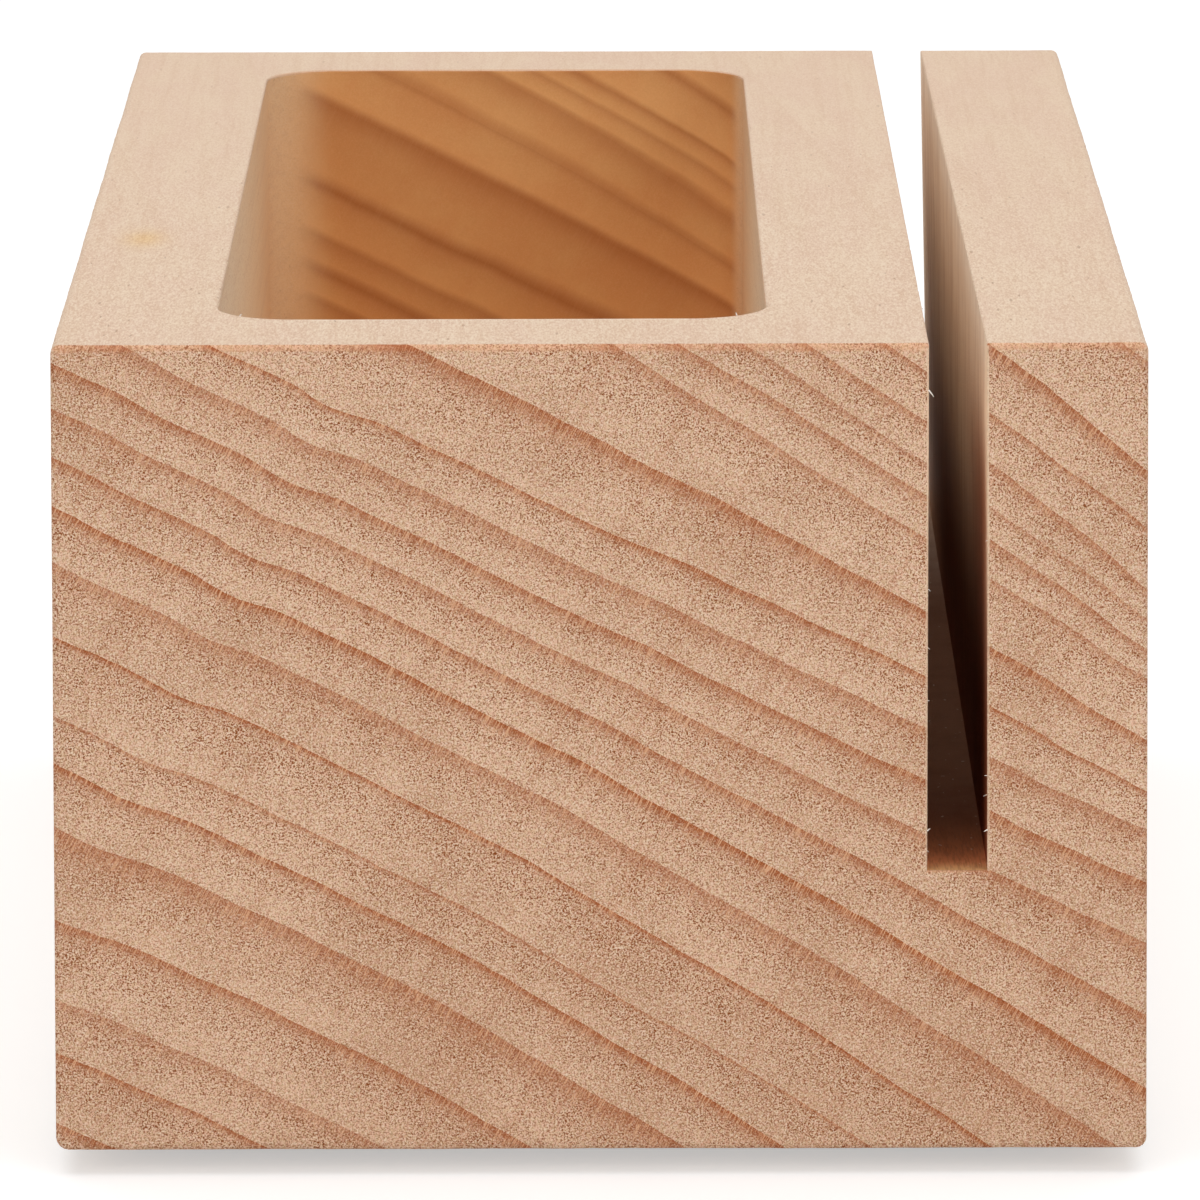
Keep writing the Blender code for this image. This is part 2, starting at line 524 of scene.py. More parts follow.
def within(graph, value, low, high, slack=0.03):
    """One between two values, with a little slack, and nothing outside them."""
    middle, reach = (low + high) / 2, (high - low) / 2 + slack
    away = graph.math("ABSOLUTE", graph.math("SUBTRACT", value, middle))
    return graph.math("LESS_THAN", away, reach)


def hump(graph, value, place, width):
    """A smooth hump of height one round a place."""
    share = graph.math("DIVIDE", graph.math("SUBTRACT", value, place), width)
    return graph.math("EXPONENT", graph.product(share, share, -1.0))


def stretched(graph, place, scales):
    """A place with each axis scaled, for noise that is longer one way than another."""
    return graph.vector(*(graph.product(axis, scale) for axis, scale in zip(place, scales)))


def ring_heights(height):
    """Heights of a ring at the front face's left edge, middle and right edge."""
    swell = SWELL * math.exp(-((height - SWELL_PLACE) / SWELL_WIDTH) ** 2)
    left = height + LEFT_RISE - LEFT_LESS * height
    right = height - RIGHT_FALL + RIGHT_LESS * height + swell
    return left, height, right


def field_share(level):
    return (level - FIELD_LOW) / (FIELD_HIGH - FIELD_LOW)


def ring_count(graph, share, column):
    """Rings below a level at one column of the front face, as a share of all rings."""
    mean = (MEAN_LEFT, 0.0, MEAN_RIGHT)[column]
    levels = [ring_heights(ring[0])[column] - mean for ring in RINGS]
    return graph.curve(share, [(field_share(level), i / len(RINGS)) for i, level in enumerate(levels)])


def level_share(graph, level):
    span = FIELD_HIGH - FIELD_LOW
    return graph.math("MULTIPLY_ADD", level, 1.0 / span, -FIELD_LOW / span)


def ring_field(graph, x, y, z):
    """How many rings lie below a point, its place along its ring and its height across the rings."""
    along = graph.math("SUBTRACT", x, graph.product(z, KINK_LEAN))
    u = graph.math("DIVIDE", x, HALF_WIDTH)
    bend = graph.math("MULTIPLY_ADD", u, -(MEAN_RIGHT + MEAN_LEFT) / 2, (MEAN_LEFT - MEAN_RIGHT) / 2)
    level = graph.sum(z, graph.product(u, bend))
    behind = graph.math("SUBTRACT", y, LOW[1])
    falls = [(field_share(at), by / MOST_FALL) for at, by in REAR_FALLS]
    fall = graph.curve(level_share(graph, level), falls)
    level = graph.sum(level, graph.product(behind, fall, MOST_FALL / (POCKET_REAR - LOW[1])))

    slow = graph.noise(stretched(graph, (along, level, y), SLOW_CELLS), detail=1.0)
    fine = graph.noise(stretched(graph, (along, level, y), FINE_CELLS), detail=2.0)
    kink = graph.product(hump(graph, along, KINK_PLACE, KINK_WIDTH),
                         graph.ramp(behind, 0.0, KINK_LENGTH, KINK_DEPTH, 0.0))
    level = graph.sum(level, kink,
                      graph.product(graph.math("SUBTRACT", slow, 0.5), SLOW_WAVE),
                      graph.product(graph.math("SUBTRACT", fine, 0.5), FINE_WAVE))

    share = level_share(graph, level)
    squared = graph.product(u, u)
    weights = (
        graph.product(graph.math("SUBTRACT", squared, u), 0.5),
        graph.without(squared),
        graph.product(graph.math("ADD", squared, u), 0.5),
    )
    terms = [graph.product(weight, ring_count(graph, share, i)) for i, weight in enumerate(weights)]
    return graph.product(graph.sum(*terms), float(len(RINGS))), along, level


def ring_looks(graph, count):
    """Darkness and sharpness of the ring that a point lies in, as red and green."""
    middle = graph.math("ADD", graph.math("FLOOR", count), 0.5)
    node = graph.add("ShaderNodeValToRGB", {0: graph.math("DIVIDE", middle, float(len(RINGS)))})
    stops = node.color_ramp
    stops.interpolation = "CONSTANT"
    for i in range(len(RINGS) - 1):
        height, dark, fade = RINGS[i + 1]
        sharpness = min((height - RINGS[i][0]) / (LATE_SPREAD * fade), MOST_SHARP) / MOST_SHARP
        stop = stops.elements[0] if i == 0 else stops.elements.new(i / len(RINGS))
        stop.color = (dark, sharpness, 0.0, 1.0)
    stops.elements[len(stops.elements) - 1].position = (len(RINGS) - 1) / len(RINGS)
    return graph.add("ShaderNodeSeparateColor", {0: node.outputs["Color"]}).outputs


def late_wood(graph, count, milled):
    """Where a point lies within its ring, and how dark the late wood is there.

    On milled end grain the cutter smears the rings, so they fade more slowly and lose their sharp edge.
    """
    looks = ring_looks(graph, count)
    phase = graph.math("FRACT", count)
    sharpness = graph.product(looks["Green"], MOST_SHARP)
    fade = graph.product(graph.without(phase), sharpness)
    core = graph.math("EXPONENT", graph.product(fade, fade, -1.0))
    tail_rate = graph.between(milled, *TAIL_RATES)
    tail = graph.math("EXPONENT", graph.product(fade, tail_rate, -1.0))
    sharp_part = graph.product(graph.math("SUBTRACT", core, tail), graph.between(milled, *CORE_SHARES))
    late = graph.sum(tail, sharp_part)
    below = ring_looks(graph, graph.math("SUBTRACT", count, 1.0))
    spill = graph.product(phase, sharpness, SPILL_RATE)
    spill = graph.product(graph.math("EXPONENT", graph.product(spill, spill, -1.0)), below["Red"], milled)
    return phase, graph.math("MAXIMUM", graph.product(late, looks["Red"]), spill)


def end_grain(graph, place, rings, phase, late, milled, arris):
    """Colour and relief of wood cut across the grain: pores, late wood and rays."""
    _, y, z = place
    _, along, level = rings
    in_ring = (along, level, y)
    smooth = graph.math("MAXIMUM", graph.product(milled, MILLED_SMOOTH), graph.product(arris, ARRIS_SMOOTH))
    sawn = graph.without(smooth)
    felt = graph.noise(stretched(graph, place, FELT_CELLS), detail=0.6, roughness=0.6, distortion=0.8)
    clump = graph.noise(stretched(graph, place, CLUMP_CELLS), detail=1.0)
    hatch = graph.noise(stretched(graph, in_ring, RAY_CELLS), detail=0.4)
    hue = graph.noise(stretched(graph, place, HUE_CELLS), detail=1.0)
    long_rays = graph.noise(stretched(graph, in_ring, LONG_RAY_CELLS), detail=1.0)
    tone = graph.noise(stretched(graph, place, TONE_CELLS), detail=5.0, roughness=0.6)

    open_grain = graph.product(sawn, graph.between(late, *OPEN_GRAIN))
    pore = graph.product(graph.ramp(felt, *PORES), graph.ramp(phase, *PORES_IN_RING),
                         graph.ramp(clump, *PORES_IN_CLUMP), open_grain)
    glint = graph.product(graph.ramp(felt, *GLINTS), open_grain)
    ray = graph.product(graph.ramp(hatch, *RAYS), graph.between(late, *RAYS_IN_LATE), sawn)
    dash = graph.product(graph.ramp(hatch, *DASHES), graph.ramp(felt, *DASHES_IN_FELT), late, sawn)

    low = graph.sum(tone, graph.product(z, PINK_RISE))
    pale = graph.mix(graph.ramp(low, *PINK_TONE), END_PALE, END_PINK)
    milled_pale = graph.mix(graph.ramp(tone, *WARM_TONE), MILLED_PALE, MILLED_WARM)
    pale = graph.mix(milled, pale, milled_pale)
    dark = graph.mix(milled, END_LATE, MILLED_LATE)
    colour = graph.mix(graph.ramp(phase, *RING_SHADE), pale, dark)
    colour = graph.mix(graph.product(graph.ramp(long_rays, *LONG_RAYS), sawn), colour, dark)
    tint = graph.mix(graph.ramp(hue, *YELLOW_HUE), RED_TINT, YELLOW_TINT)
    colour = graph.mix(sawn, colour, tint, "MULTIPLY")
    colour = graph.mix(graph.product(late, graph.between(milled, *LATE_WEIGHTS)), colour, dark)
    colour = graph.mix(graph.product(dash, DASH_WEIGHT), colour, END_DARK)
    colour = graph.mix(pore, colour, graph.mix(late, END_PORE, END_DARK))
    colour = graph.mix(graph.product(glint, GLINT_WEIGHT), colour, END_GLINT)
    colour = graph.mix(ray, colour, END_RAY)
    return colour, graph.product(graph.math("SUBTRACT", 0.5, felt), sawn)


def long_grain(graph, place, late, milled):
    """Colour and relief of wood cut along the grain: fibres, faint rings and the flecks of cut rays."""
    _, y, _ = place
    fibres = graph.noise(stretched(graph, place, SIDE_FIBRE_CELLS), detail=1.0, roughness=0.6)
    streaks = graph.noise(stretched(graph, place, SIDE_STREAK_CELLS), detail=3.0, roughness=0.6)
    flecks = graph.noise(stretched(graph, place, SIDE_FLECK_CELLS), detail=0.0)
    hue = graph.noise(stretched(graph, place, SIDE_HUE_CELLS), detail=2.0)
    crisp = graph.ramp(y, LOW[1], HIGH[1], 1.0, REAR_FIBRES)
    colour = graph.mix(graph.ramp(hue, *SIDE_PINK_HUE), SIDE_PALE, SIDE_PINK)
    milled_side = graph.mix(graph.ramp(y, LOW[1], HIGH[1]), MILLED_FRONT, MILLED_REAR)
    colour = graph.mix(graph.product(milled, MILLED_WEIGHT), colour, milled_side)
    colour = graph.mix(graph.product(late, SIDE_RINGS), colour, SIDE_LATE)
    colour = graph.mix(graph.ramp(streaks, *SIDE_STREAKS), colour, SIDE_LATE)
    colour = graph.mix(graph.product(graph.ramp(fibres, *SIDE_DARK_FIBRES), crisp), colour, SIDE_LATE)
    colour = graph.mix(graph.product(graph.ramp(fibres, *SIDE_PALE_FIBRES), crisp), colour, SIDE_GLINT)
    colour = graph.mix(graph.product(graph.ramp(flecks, *SIDE_FLECKS), crisp), colour, SIDE_FLECK)
    stain = [hump(graph, axis, at, size) for axis, at, size in zip(place, STAIN_PLACE, STAIN_SIZE)]
    colour = graph.mix(graph.product(*stain, STAIN_WEIGHT), colour, STAIN_TINT, "MULTIPLY")
    return colour, graph.product(graph.math("SUBTRACT", 0.5, fibres), SIDE_RELIEF)


def end_facing(graph, milled):
    """How much end grain a point shows, if it is an eased top edge or a torn edge, and if it faces right.

    An eased outside edge shows end grain at once. In the pocket's round corners the cutter ran with the
    grain on one side and against it on the other, so the change is slow in the one and quick in the other.
    """
    normal = graph.add("ShaderNodeNewGeometry", {}).outputs["Normal"]
    facing = graph.add("ShaderNodeSeparateXYZ", {0: normal}).outputs
    lengthwise = graph.math("ABSOLUTE", facing["Y"])
    outside = graph.ramp(lengthwise, *END_TURN)
    faces_right = graph.math("GREATER_THAN", facing["X"], 0.0)
    turned = graph.without(graph.math("ABSOLUTE", facing["X"]))
    upright = graph.math("LESS_THAN", facing["Z"], UPRIGHT)
    inside = graph.product(graph.ramp(turned, 0.0, graph.between(faces_right, *CORNER_TURNS)), upright)
    share = graph.sum(outside, graph.product(milled, graph.math("SUBTRACT", inside, outside)))
    arris = graph.ramp(graph.product(lengthwise, facing["Z"]), *ARRIS_TURN)
    torn = graph.ramp(graph.math("ABSOLUTE", graph.product(facing["X"], facing["Y"])), *TORN_TURN)
    return share, arris, torn, faces_right


def painted_rim_highlight(graph, place):
    """A painted highlight along the top edge of the pocket's front wall."""
    x, y, z = place
    straight = (POCKET_LEFT + POCKET_CORNER_RADIUS, POCKET_RIGHT - POCKET_CORNER_RADIUS)
    return graph.product(within(graph, x, *straight),
                         graph.ramp(y, POCKET_FRONT - RIM_WIDTH, POCKET_FRONT - RIM_FULL * RIM_WIDTH),
                         graph.math("LESS_THAN", y, POCKET_FRONT + MOUTH_ARRIS),
                         graph.math("GREATER_THAN", z, HEIGHT - MOUTH_ARRIS),
                         RIM_WEIGHT)


def saw_marks_light_and_shade(graph, place, colour, in_slot):
    """The slot: painted light at its mouth, rear and floor's front, painted shade deep down and near the
    front.
    """
    _, y, z = place
    under = graph.math("SUBTRACT", HEIGHT, z)
    from_front = graph.math("SUBTRACT", y, LOW[1])
    from_rear = graph.math("SUBTRACT", HIGH[1], y)
    # Painted light: the slot's walls and floor get a pale base
    colour = graph.mix(in_slot, colour, SLOT_LIGHT_AND_DUST)
    streaks = graph.noise(stretched(graph, place, SAW_STREAK_CELLS), detail=4.0, roughness=0.6)
    streaked = graph.product(in_slot, graph.ramp(streaks, *SAW_STREAKS))
    colour = graph.mix(streaked, colour, STREAK_TINT, "MULTIPLY")
    # Painted shade deep down in the slot, less towards its rear
    deep_shade = graph.product(in_slot, graph.ramp(under, *DEEP_SHADE_UNDER), graph.ramp(from_rear, *DEEP_SHADE_FROM_REAR))
    colour = graph.mix(deep_shade, colour, DEEP_SHADE_TINT, "MULTIPLY")
    # Painted shade on the slot's walls under the top near the front
    front_shade = graph.product(in_slot, graph.ramp(from_front, *FRONT_SHADE_FROM_FRONT),
                             graph.ramp(under, *FRONT_SHADE_UNDER))
    colour = graph.mix(front_shade, colour, FRONT_SHADE_TINT, "MULTIPLY")
    on_floor = graph.product(in_slot, graph.math("LESS_THAN", z, SLOT_FLOOR + SLOT_FLOOR_REACH))
    combed = graph.ramp(graph.noise(stretched(graph, place, COMB_CELLS), detail=1.0), *COMBED)
    # Painted light on the front of the slot's floor, gold at its edge, streaked like fibres
    floor_light = graph.mix(graph.ramp(from_front, *GOLD_LIGHT_FROM_FRONT), SLOT_FLOOR_LIGHT_GOLD, SLOT_FLOOR_LIGHT_WARM)
    lit_floor = graph.product(on_floor, graph.ramp(from_front, *LIT_FLOOR_FROM_FRONT), combed)
    colour = graph.mix(lit_floor, colour, floor_light)
    dust = graph.noise(stretched(graph, place, DUST_CELLS), detail=0.0)
    return graph.mix(graph.product(on_floor, graph.ramp(dust, *DUST)), colour, SLOT_LIGHT_AND_DUST)


def torn_edges_and_highlight(graph, place, in_slot, by_slot, torn):
    """The slot's torn edges at the front, pale from torn fibres and a painted highlight, most so towards the
    top.
    """
    _, y, z = place
    under = graph.math("SUBTRACT", HEIGHT, z)
    from_front = graph.math("SUBTRACT", y, LOW[1])
    frays = graph.noise(stretched(graph, place, FRAY_CELLS), detail=2.0)
    frayed = graph.ramp(graph.math("MULTIPLY_ADD", frays, -FRAY_LENGTH, from_front), *FRAYED_FROM_FRONT)
    frayed = graph.product(frayed, in_slot, graph.ramp(under, *FRAYED_UNDER))
    torn = graph.product(torn, by_slot, graph.ramp(under, *TORN_UNDER))
    return graph.math("MAXIMUM", frayed, torn)


def beech():
    graph = Graph("Sanded beech")
    x, y, z = place = block_place(graph)
    in_pocket = graph.product(within(graph, x, POCKET_LEFT, POCKET_RIGHT, MOUTH_ARRIS),
                              within(graph, y, POCKET_FRONT, POCKET_REAR, MOUTH_ARRIS),
                              graph.math("GREATER_THAN", z, POCKET_FLOOR - POCKET_SLACK))
    under_mouth = graph.product(in_pocket, graph.math("LESS_THAN", z, HEIGHT - MOUTH_ARRIS))
    end_share, arris, torn, faces_right = end_facing(graph, in_pocket)
    by_slot = graph.product(within(graph, x, SLOT_LEFT, SLOT_RIGHT, SLOT_REACH),
                            within(graph, z, SLOT_FLOOR, HEIGHT - SLOT_ARRIS))
    in_slot = graph.product(by_slot, graph.without(end_share))

    rings = ring_field(graph, x, y, z)
    phase, late = late_wood(graph, rings[0], in_pocket)
    late = graph.product(late, graph.ramp(end_share, *RINGS_BY_END, graph.without(in_pocket), 1.0))
    end, end_relief = end_grain(graph, place, rings, phase, late, in_pocket, arris)
    side, side_relief = long_grain(graph, place, late, under_mouth)
    # Painted shade: inside the pocket, all but the walls that face right is darkened
    pocket_shade = graph.product(under_mouth, graph.without(faces_right))
    side = graph.mix(pocket_shade, side, POCKET_SHADE_TINT, "MULTIPLY")

    colour = graph.mix(end_share, side, end)
    colour = graph.mix(graph.product(arris, ARRIS_WEIGHT), colour, ARRIS_TINT, "MULTIPLY")
    # Painted highlight on the pocket's front rim
    colour = graph.mix(painted_rim_highlight(graph, place), colour, RIM_HIGHLIGHT)
    colour = saw_marks_light_and_shade(graph, place, colour, in_slot)
    # Pale torn fibres and a painted highlight along the slot's front edges
    colour = graph.mix(torn_edges_and_highlight(graph, place, in_slot, by_slot, torn), colour, SLOT_EDGE_FIBRES_AND_HIGHLIGHT)

    graph.put(graph.shader.inputs["Base Color"], colour)
    graph.put(graph.shader.inputs["Roughness"], graph.ramp(end_relief, *WOOD_ROUGHNESS))
    slot_dull = graph.product(in_slot, SLOT_DULLNESS)
    dull = graph.math("MAXIMUM", slot_dull, graph.product(end_share, END_DULLNESS))
    graph.put(graph.shader.inputs["Specular IOR Level"], graph.math("SUBTRACT", WOOD_GLOSS, dull))
    relief = graph.mix(end_share, graph.vector(side_relief, 0.0, 0.0), graph.vector(end_relief, 0.0, 0.0))
    height = graph.add("ShaderNodeSeparateXYZ", {0: relief}).outputs["X"]
    graph.put(graph.shader.inputs["Normal"], graph.bump(height, WOOD_BUMP * MM, WOOD_BUMP_STRENGTH))
    return graph.material


def place_object(name, data):
    """A new object of the scene."""
    thing = bpy.data.objects.new(name, data)
    bpy.context.scene.collection.objects.link(thing)
    return thing


def mesh_from(solid, name, material):
    """The finished mesh of a solid, which is then let go."""
    mesh = bpy.data.meshes.new(name)
    solid.to_mesh(mesh)
    solid.free()
    mesh.materials.append(material)
    return mesh


def wear(place, amount):
    """How much sandpaper took off at a place, about one give or take the amount."""
    place = Vector(place)
    quick = WEAR_QUICK * noise.noise(place * WEAR_QUICK_CELLS)
    return 1.0 + amount * (noise.noise(place * WEAR_SLOW_CELLS) + quick)


def side_way(i):
    """Direction of one side of the outline, going round counter-clockwise."""
    return (Vector(OUTLINE[(i + 1) % len(OUTLINE)]) - Vector(OUTLINE[i])).normalized()


def side_inward(i):
    return side_way(i).orthogonal()


def corner_at(i, y):
    """One corner of the outline at a place along the block."""
    i %= len(OUTLINE)
    front, rear = CORNER_LEAN.get(i, (0.0, 0.0))
    share = (y - LOW[1]) / LENGTH
    return Vector((OUTLINE[i][0] + front + share * (rear - front), OUTLINE[i][1]))


def chipping(x, y):
    """Depth that chips take off an edge of the top."""
    depth = 0.0
    for at_x, at_y, chip in CHIPS:
        away = (x - at_x) ** 2 + (y - at_y) ** 2
        depth += chip * math.exp(-away / CHIP_WIDTH ** 2)
    return depth


def end_easing(i, place, y):
    """Easing of an end face's edge at a point of one side."""
    spot = (place[0], y, place[1])
    if i in SLOT_SIDES:
        return SLOT_ARRIS * wear(spot, SLOT_WEAR) + RAGGED * abs(noise.noise(Vector(spot) * RAGGED_CELLS))
    return ARRIS * wear(spot, ARRIS_WEAR)


def corner_easing(i, y):
    """Easing of the long edge at one corner of the outline."""
    spot = (OUTLINE[i][0], y, OUTLINE[i][1])
    if i in SLOT_CORNERS:
        return SLOT_ARRIS * wear(spot, SLOT_WEAR) + chipping(spot[0], y)
    if i in BOTTOM_CORNERS:
        return BOTTOM_ARRIS * wear(spot, ARRIS_WEAR)
    return ARRIS * wear(spot, ARRIS_WEAR)


def corner_arc(i, place, radius):
    """Points round one corner of the outline; an inside corner stays one sharp point."""
    before, after = side_way(i - 1), side_way(i)
    if before.cross(after) < 0.0:
        return [place]
    centre = place + (after - before) * radius
    angles = [math.pi / 2 * j / ARC_STEPS for j in range(ARC_STEPS + 1)]
    return [centre + (before * math.sin(a) - after * math.cos(a)) * radius for a in angles]


def end_ring(y_end, inwards, turn):
    """Corner arcs and side points of one ring round an end's eased edge.

    The turn goes from none, on the long sides, to a right angle, on the end face.
    """
    shrink = 1.0 - math.cos(turn)
    depth = inwards * (1.0 - math.sin(turn))
    arcs, sides = [], []
    for i in range(len(OUTLINE)):
        corner, following = corner_at(i, y_end), corner_at(i + 1, y_end)
        before, after = end_easing(i - 1, corner, y_end), end_easing(i, corner, y_end)
        place = corner + side_inward(i - 1) * before * shrink + side_inward(i) * after * shrink
        radius = max(corner_easing(i, y_end) - min(before, after) * shrink, LEAST_RADIUS)
        arc = corner_arc(i, place, radius)
        easings = [before + (after - before) * j / ARC_STEPS for j in range(len(arc))]
        arcs.append([(p.x, y_end + depth * r, p.y) for p, r in zip(arc, easings)])
        margin = (following - corner).normalized() * CORNER_MARGIN
        start, run = corner + margin, following - corner - 2 * margin
        steps = round(run.length / (RAGGED_STEP if i in SLOT_SIDES else EDGE_STEP))
        side = []
        for step in range(steps + 1):
            spot = start + run * step / steps
            easing = end_easing(i, spot, y_end)
            spot = spot + side_inward(i) * easing * shrink
            side.append((spot.x, y_end + depth * easing, spot.y))
        sides.append(side)
    return arcs, sides


def middle_ring(y):
    """Corner arcs of the outline at one place along the block; the flat sides need no points there."""
    arcs = []
    for i in range(len(OUTLINE)):
        arc = corner_arc(i, corner_at(i, y), corner_easing(i, y))
        arcs.append([(p.x, y, p.y) for p in arc])
    return arcs


def add_points(solid, chains):
    """Vertices for a list of chains of points in millimetres."""
    return [[solid.verts.new([c * MM for c in point]) for point in chain] for chain in chains]


def join_loops(solid, first, second, closed=True):
    """A band of four-sided faces between two rows of vertices."""
    for j in range(len(first) if closed else len(first) - 1):
        after = (j + 1) % len(first)
        solid.faces.new((first[j], first[after], second[after], second[j]))


def fill(solid, *borders):
    """Fills a flat face, with its holes, with well shaped triangles."""
    edges = []
    for border in borders:
        pairs = zip(border, border[1:] + border[:1])
        edges += [solid.edges.get(pair) or solid.edges.new(pair) for pair in pairs]
    bmesh.ops.triangle_fill(solid, use_beauty=True, edges=edges)


def eased_end(solid, y_end, inwards):
    """One end face with its eased edge; returns the vertices where the long sides begin."""
    rings = []
    for step in range(ARC_STEPS + 1):
        arcs, sides = end_ring(y_end, inwards, math.pi / 2 * step / ARC_STEPS)
        rings.append((add_points(solid, arcs), add_points(solid, sides)))
    loops = [[v for arc, side in zip(*ring) for v in arc + side] for ring in rings]
    for first, second in zip(loops, loops[1:]):
        join_loops(solid, first, second)
    fill(solid, loops[-1])
    return rings[0]


def pocket_path():
    """Places and outward ways round the pocket's mouth."""
    centre = Vector(((POCKET_LEFT + POCKET_RIGHT) / 2, 0.0))
    reach = Vector((POCKET_WIDTH / 2, POCKET_REAR)) - Vector((1, 1)) * POCKET_CORNER_RADIUS
    quarters = ((1, 1), (-1, 1), (-1, -1), (1, -1))
    path = []
    for quarter, (sign_x, sign_y) in enumerate(quarters):
        hub = centre + Vector((sign_x * reach.x, sign_y * reach.y))
        for j in range(CORNER_STEPS + 1):
            angle = math.pi / 2 * (quarter + j / CORNER_STEPS)
            way = Vector((math.cos(angle), math.sin(angle)))
            path.append((hub + way * POCKET_CORNER_RADIUS, way))
        next_x, next_y = quarters[(quarter + 1) % 4]
        run = centre + Vector((next_x * reach.x, next_y * reach.y)) - hub
        steps = round(run.length / EDGE_STEP)
        start, way = path[-1]
        path.extend((start + run * step / steps, way) for step in range(1, steps))
    return path


def pocket(solid):
    """The milled pocket with its eased mouth; returns the mouth's vertices on the top face."""
    path = pocket_path()
    loops = [[(p.x, p.y, LOW[2] + POCKET_FLOOR) for p, _ in path]]
    for step in range(ARC_STEPS + 1):
        turn = math.pi / 2 * step / ARC_STEPS
        loop = []
        for place, way in path:
            easing = MOUTH_ARRIS * wear((place.x, place.y, HIGH[2]), MOUTH_WEAR) + chipping(*place)
            spot = place + way * easing * (1.0 - math.cos(turn))
            loop.append((spot.x, spot.y, HIGH[2] - easing * (1.0 - math.sin(turn))))
        loops.append(loop)
    loops = add_points(solid, loops)
    for first, second in zip(loops, loops[1:]):
        join_loops(solid, first, second)
    solid.faces.new(loops[0])
    return loops[-1]


def block_solid():
    """The block as one closed skin: two eased ends, eased long edges, flat sides and the pocket."""
    solid = bmesh.new()
    front_arcs, front_sides = eased_end(solid, LOW[1], 1.0)
    back_arcs, back_sides = eased_end(solid, HIGH[1], -1.0)
    steps = round(LENGTH / EDGE_STEP)
    places = [LOW[1] + LENGTH * step / steps for step in range(2, steps - 1)]
    stations = [front_arcs] + [add_points(solid, middle_ring(y)) for y in places] + [back_arcs]
    mouth = pocket(solid)
    for i in range(len(OUTLINE)):
        after = (i + 1) % len(OUTLINE)
        for near, far in zip(stations, stations[1:]):
            join_loops(solid, near[i], far[i], closed=False)
        rows = (
            [front_arcs[i][-1]] + front_sides[i],
            [station[after][0] for station in stations],
            back_sides[i][::-1],
            [station[i][-1] for station in stations[:0:-1]],
        )
        border = [vert for row in rows for vert in row]
        if i == TOP_SIDE:
            fill(solid, border, mouth)
        else:
            fill(solid, border)
    bmesh.ops.recalc_face_normals(solid, faces=solid.faces)
    for face in solid.faces:
        face.smooth = True
    for edge in solid.edges:
        edge.smooth = edge.calc_face_angle(0.0) < math.radians(SHARP_ANGLE)
    return solid


def wood_piece():
    block = place_object("beech_block", mesh_from(block_solid(), "beech_block", beech()))
    flat = block.modifiers.new("Flat sides", "WEIGHTED_NORMAL")
    flat.keep_sharp = True
    flat.weight = 100
    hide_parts("wood_block")
    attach(block, "root")


def wood_fibre():
    graph = Graph("Torn wood fibre")
    place = block_place(graph)
    tone = graph.noise(stretched(graph, place, TORN_CELLS), detail=1.0)
    colour = graph.mix(graph.ramp(tone, *TORN_TONE), FIBRE_PALE, SIDE_GLINT)
    graph.put(graph.shader.inputs["Base Color"], colour)
    graph.put(graph.shader.inputs["Roughness"], graph.ramp(tone, *TORN_ROUGHNESS))
    graph.put(graph.shader.inputs["Normal"], graph.bump(tone, TORN_BUMP * MM, SMALL_BUMP_STRENGTH))
    return graph.material


def slot_fibres():
    """Short torn fibres that stand out of the slot's cut edges at both ends: root, tip and stoutness."""
    pick = random.Random(FIBRE_SEED)
    fibres = []
    for y_end, outwards in ((LOW[1], -1.0), (HIGH[1], 1.0)):
        for x, inwards in ((SLOT_LEFT, 1.0), (SLOT_RIGHT, -1.0)):
            for _ in range(FIBRES_AN_EDGE):
                start = Vector((x, y_end - outwards * SLOT_ARRIS, pick.uniform(SLOT_BOTTOM, HIGH[2])))
                along, up = outwards * pick.uniform(*FIBRE_ALONG), pick.uniform(*FIBRE_UP)
                reach = Vector((inwards, along, up)).normalized()
                fibres.append((start, start + reach * pick.uniform(*FIBRE_LENGTHS), 1.0))
    return fibres + [(Vector(start), Vector(end), LARGE_STOUTNESS) for start, end in LARGE_FIBRES]


def fibre_piece():
    curve = bpy.data.curves.new("loose_fibres", "CURVE")
    curve.dimensions = "3D"
    curve.bevel_depth = FIBRE_RADIUS * MM
    curve.bevel_resolution = 1
    for start, end, stoutness in slot_fibres():
        arch = Vector((0.0, 0.0, (end - start).length * FIBRE_ARCH / stoutness))
        points = (start, (start + end) / 2 + arch, end)
        spline = curve.splines.new("NURBS")
        spline.points.add(len(points) - 1)
        for i, point in enumerate(points):
            spline.points[i].co = (*(point * MM), 1.0)
            spline.points[i].radius = stoutness * (1.0 - FIBRE_TAPER * i)
        spline.use_endpoint_u = True
        spline.order_u = 3
    curve.materials.append(wood_fibre())
    fibres = place_object("loose_fibres", curve)
    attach(fibres, "root")


def foot_rubber():
    graph = Graph("Moulded rubber")
    place = block_place(graph)
    grit = graph.noise(stretched(graph, place, GRIT_CELLS), detail=2.0)
    bloom = graph.noise(stretched(graph, place, BLOOM_CELLS), detail=3.0)
    colour = graph.mix(graph.ramp(grit, *GRIT), RUBBER_DARK, RUBBER_GREY)
    colour = graph.mix(graph.ramp(bloom, *BLOOM), colour, RUBBER_BLOOM)
    graph.put(graph.shader.inputs["Base Color"], colour)
    graph.put(graph.shader.inputs["Roughness"], graph.ramp(bloom, *RUBBER_ROUGHNESS))
    graph.put(graph.shader.inputs["Normal"], graph.bump(grit, RUBBER_BUMP * MM, SMALL_BUMP_STRENGTH))
    return graph.material


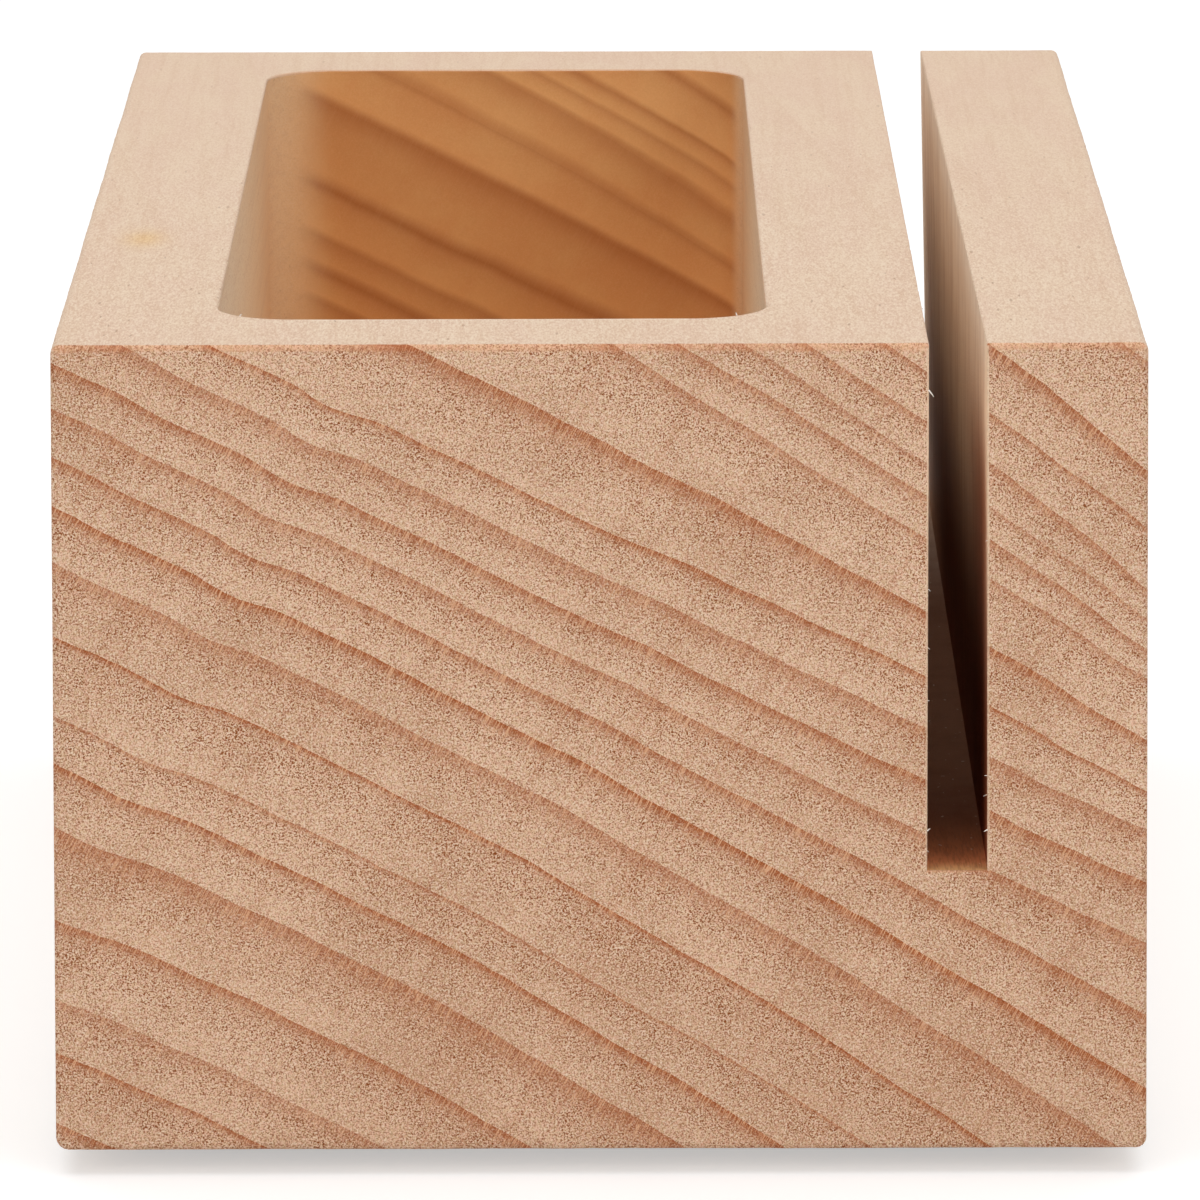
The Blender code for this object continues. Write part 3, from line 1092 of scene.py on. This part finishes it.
def adhesive_disc(solid, foot, pick):
    """The foam pad between one foot and the block, smaller than the foot and squeezed out unevenly."""
    low, high = (Vector(corner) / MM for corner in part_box(foot))
    centre = (low + high) / 2
    gap = LOW[2] - high[2]
    turns = [math.tau * j / PAD_STEPS for j in range(PAD_STEPS)]
    edge = [(high[0] - low[0]) / 2 - PAD_INSET + pick.uniform(-PAD_UNEVEN, PAD_UNEVEN) for _ in turns]
    loops = []
    for step in range(ARC_STEPS + 1):
        share = step / ARC_STEPS
        swell = PAD_SWELL * math.sin(math.pi * share)
        height = high[2] + gap * share
        loop = []
        for turn, reach in zip(turns, edge):
            radius = reach + swell
            loop.append((centre.x + radius * math.cos(turn), centre.y + radius * math.sin(turn), height))
        loops.append(loop)
    loops = add_points(solid, loops)
    for first, second in zip(loops, loops[1:]):
        join_loops(solid, first, second)
    solid.faces.new(loops[0])
    solid.faces.new(loops[-1])


def feet():
    """The moulded feet of the frame with a better finish, and the foam pads that hold them."""
    rubber = foot_rubber()
    pick = random.Random(PAD_SEED)
    solid = bmesh.new()
    for foot in FEET:
        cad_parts[foot].material_slots[0].material = rubber
        adhesive_disc(solid, foot, pick)
    bmesh.ops.recalc_face_normals(solid, faces=solid.faces)
    for face in solid.faces:
        face.smooth = len(face.verts) == 4
    pads = place_object("foot_pads", mesh_from(solid, "foot_pads", rubber))
    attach(pads, "root")


def white_when_seen(tree, lit, seen):
    """Mixes two shaders: seen for camera, mirror and glass rays, lit for the rest."""
    path = tree.nodes.new("ShaderNodeLightPath")
    share = path.outputs["Is Camera Ray"]
    for ray in ("Is Glossy Ray", "Is Transmission Ray"):
        either = tree.nodes.new("ShaderNodeMath")
        either.operation = "MAXIMUM"
        tree.links.new(share, either.inputs[0])
        tree.links.new(path.outputs[ray], either.inputs[1])
        share = either.outputs[0]
    mix = tree.nodes.new("ShaderNodeMixShader")
    for i, source in enumerate((share, lit, seen)):
        tree.links.new(source, mix.inputs[i])
    return mix.outputs[0]


def studio_world():
    world = bpy.data.worlds.new("Studio")
    bpy.context.scene.world = world
    world.use_nodes = True
    tree = world.node_tree
    ambient = tree.nodes["Background"]
    ambient.inputs["Color"].default_value = WHITE
    ambient.inputs["Strength"].default_value = AMBIENT
    white = tree.nodes.new("ShaderNodeBackground")
    white.inputs["Strength"].default_value = 1.0
    mixed = white_when_seen(tree, ambient.outputs[0], white.outputs[0])
    tree.links.new(mixed, tree.nodes["World Output"].inputs["Surface"])


def white_floor():
    """A floor that lights the block as pale board would, and is lifted to white where it is seen."""
    material = bpy.data.materials.new("White floor")
    material.use_nodes = True
    tree = material.node_tree
    tree.nodes.remove(tree.nodes["Principled BSDF"])
    lit = tree.nodes.new("ShaderNodeBsdfDiffuse")
    lit.inputs["Color"].default_value = FLOOR_LIT
    pale = tree.nodes.new("ShaderNodeBsdfDiffuse")
    pale.inputs["Color"].default_value = FLOOR_SEEN
    lift = tree.nodes.new("ShaderNodeEmission")
    lift.inputs["Strength"].default_value = FLOOR_LIFT
    seen = tree.nodes.new("ShaderNodeAddShader")
    tree.links.new(pale.outputs[0], seen.inputs[0])
    tree.links.new(lift.outputs[0], seen.inputs[1])
    mixed = white_when_seen(tree, lit.outputs[0], seen.outputs[0])
    tree.links.new(mixed, tree.nodes["Material Output"].inputs["Surface"])
    return material


def studio_floor():
    plane = bmesh.new()
    bmesh.ops.create_grid(plane, x_segments=1, y_segments=1, size=FLOOR_SIZE)
    floor = place_object("floor", mesh_from(plane, "floor", white_floor()))


def studio_lights():
    for name, (place, size, watts) in LIGHTS.items():
        data = bpy.data.lights.new(name, "AREA")
        data.shape = "SQUARE"
        data.size = size
        data.energy = watts
        light = place_object(name, data)
        light.location = place
        light.rotation_euler = (Vector(LIGHT_TARGET) - Vector(place)).to_track_quat("-Z", "Y").to_euler()


def photo_camera():
    data = bpy.data.cameras.new("photo_camera")
    data.sensor_width = SENSOR
    data.lens = CAMERA_LENS
    data.clip_start = CAMERA_NEAR
    data.clip_end = CAMERA_FAR
    camera = place_object("photo_camera", data)
    camera.location = CAMERA_PLACE
    pitch = Matrix.Rotation(math.radians(90.0 - CAMERA_PITCH), 3, "X")
    roll = Matrix.Rotation(math.radians(-CAMERA_ROLL), 3, "Z")
    camera.rotation_euler = (pitch @ roll).to_euler()
    bpy.context.scene.camera = camera


def main():
    bpy.context.scene.view_settings.view_transform = "Standard"
    wood_piece()
    fibre_piece()
    feet()
    studio_world()
    studio_floor()
    studio_lights()
    photo_camera()


main()
